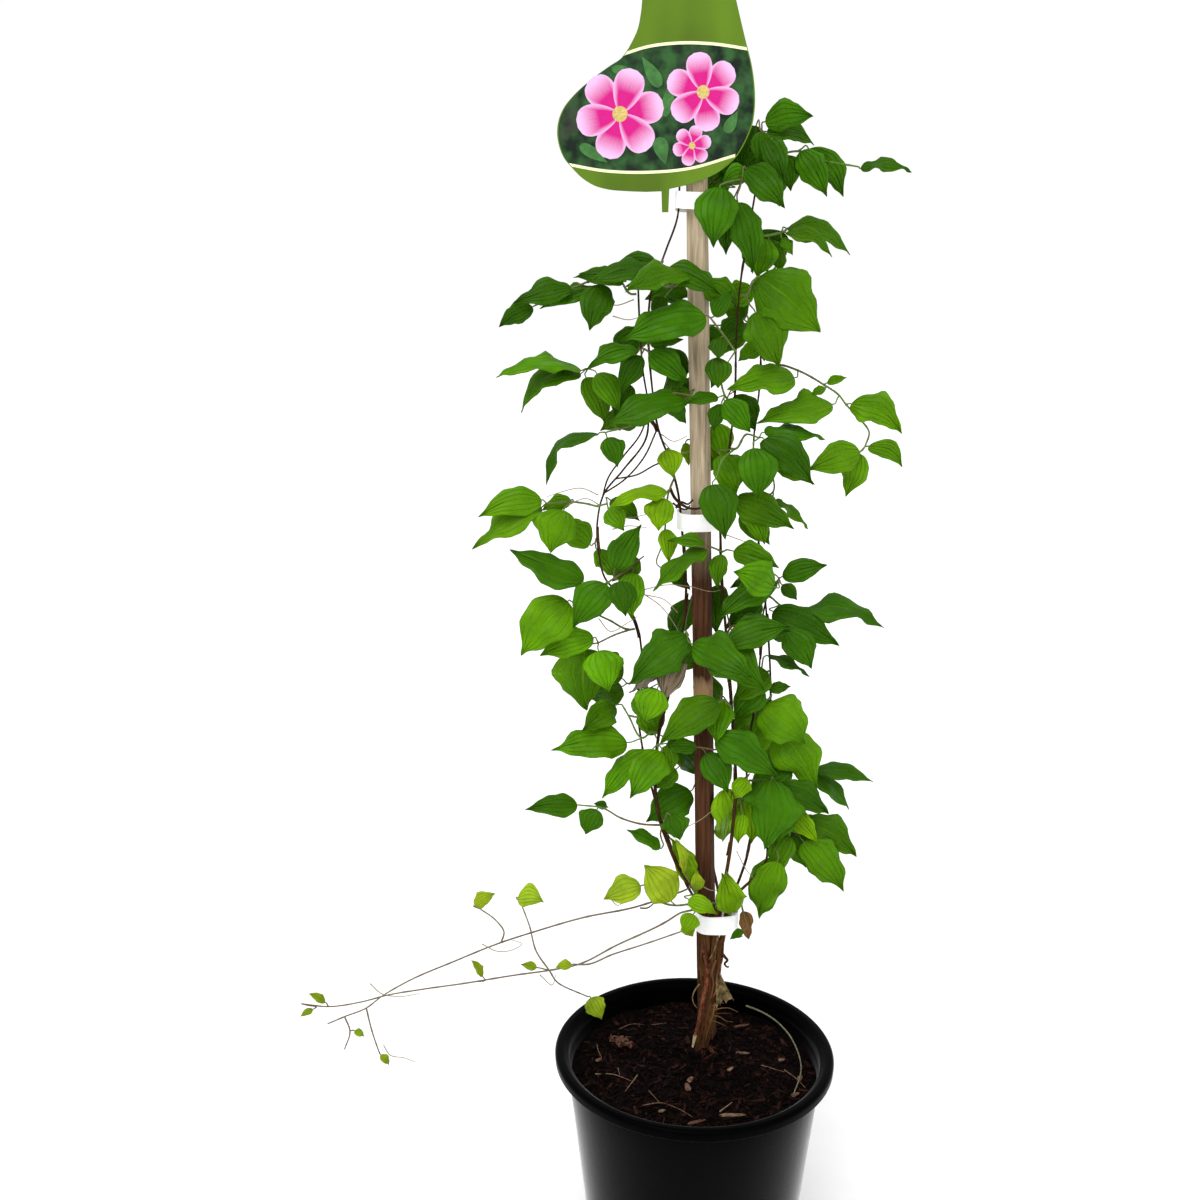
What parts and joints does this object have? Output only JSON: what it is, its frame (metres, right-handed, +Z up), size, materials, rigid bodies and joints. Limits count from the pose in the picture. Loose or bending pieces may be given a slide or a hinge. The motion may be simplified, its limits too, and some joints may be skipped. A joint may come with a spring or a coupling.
{
  "type": "potted clematis",
  "caption": "Young climbing clematis in a round black nursery pot, its stems tied to a square wooden stake, with leaf fronds, trailing shoots and a kidney-shaped plant card.",
  "frame": {"origin": "centre of the pot's flat underside, where it rests", "axes": "+Z up from the pot to the card, -Y towards the viewer of the picture, so the card and the front of the plant face -Y and the trailing shoots run to -X"},
  "size_m": [0.363, 0.172, 0.784],
  "materials": {
    "pot_plastic": "black injection-moulded plastic, slightly shiny",
    "soil": "dark bark mix, rough and dry on top",
    "stake_wood": "sawn softwood, weathered grey-beige above and stained brown below",
    "tie_plastic": "white plastic tape, satin",
    "label_card": "printed plastic card, satin",
    "stem_bark": "reddish brown peeling bark",
    "leaf_dark": "plant tissue, dark green, satin",
    "leaf_mid": "plant tissue, mid green, satin",
    "leaf_light": "plant tissue, fresh green, satin",
    "leaf_lime": "plant tissue, yellow-green, satin",
    "dry_leaf": "dry brown leaf, matt"
  },
  "bodies": {
    "root": {"dead_leaf_hanging": "dry_leaf", "dried_leaf_low": "dry_leaf", "frond_back_bow": "leaf_light", "frond_back_centre": "leaf_mid", "frond_back_inner": "leaf_mid", "frond_back_left_low": "leaf_mid", "frond_back_left_top": "leaf_mid", "frond_back_right_low": "leaf_light", "frond_back_right_middle": "leaf_mid", "frond_back_right_top": "leaf_mid", "frond_back_top": "leaf_dark", "frond_behind_stake": "leaf_lime", "frond_bow_far": "leaf_light", "frond_bow_pair": "leaf_dark", "frond_bow_pale": "leaf_light", "frond_dark_low": "leaf_dark", "frond_left_across": "leaf_mid", "frond_left_far": "leaf_mid", "frond_left_hanging": "leaf_mid", "frond_left_long": "leaf_mid", "frond_left_lower": "leaf_lime", "frond_left_middle": "leaf_dark", "frond_left_top": "leaf_mid", "frond_left_top_far": "leaf_dark", "frond_lime_inner": "leaf_lime", "frond_lime_low_left": "leaf_lime", "frond_lime_low_right": "leaf_lime", "frond_low_left": "leaf_dark", "frond_low_left_pair": "leaf_mid", "frond_right_behind": "leaf_dark", "frond_right_bridge": "leaf_light", "frond_right_crest": "leaf_dark", "frond_right_dark": "leaf_dark", "frond_right_dark_far": "leaf_dark", "frond_right_deep": "leaf_dark", "frond_right_front": "leaf_dark", "frond_right_lime": "leaf_lime", "frond_right_low": "leaf_mid", "frond_right_middle": "leaf_mid", "frond_right_over": "leaf_mid", "frond_right_shelf": "leaf_mid", "frond_right_wing": "leaf_dark", "frond_stake_band": "leaf_mid", "frond_stake_high": "leaf_mid", "frond_stake_pale": "leaf_light", "frond_top_crown": "leaf_dark", "frond_top_front": "leaf_mid", "frond_top_right": "leaf_dark", "frond_upper_broad": "leaf_light", "frond_upper_tiers": "leaf_mid", "label": "label_card", "pot": "pot_plastic", "shoot_lower": "leaf_light", "shoot_upper": "leaf_light", "soil": "soil", "stake": "stake_wood", "stems": "stem_bark", "tie_low": "tie_plastic", "tie_middle": "tie_plastic", "tie_top": "tie_plastic"}
  },
  "joints": []
}
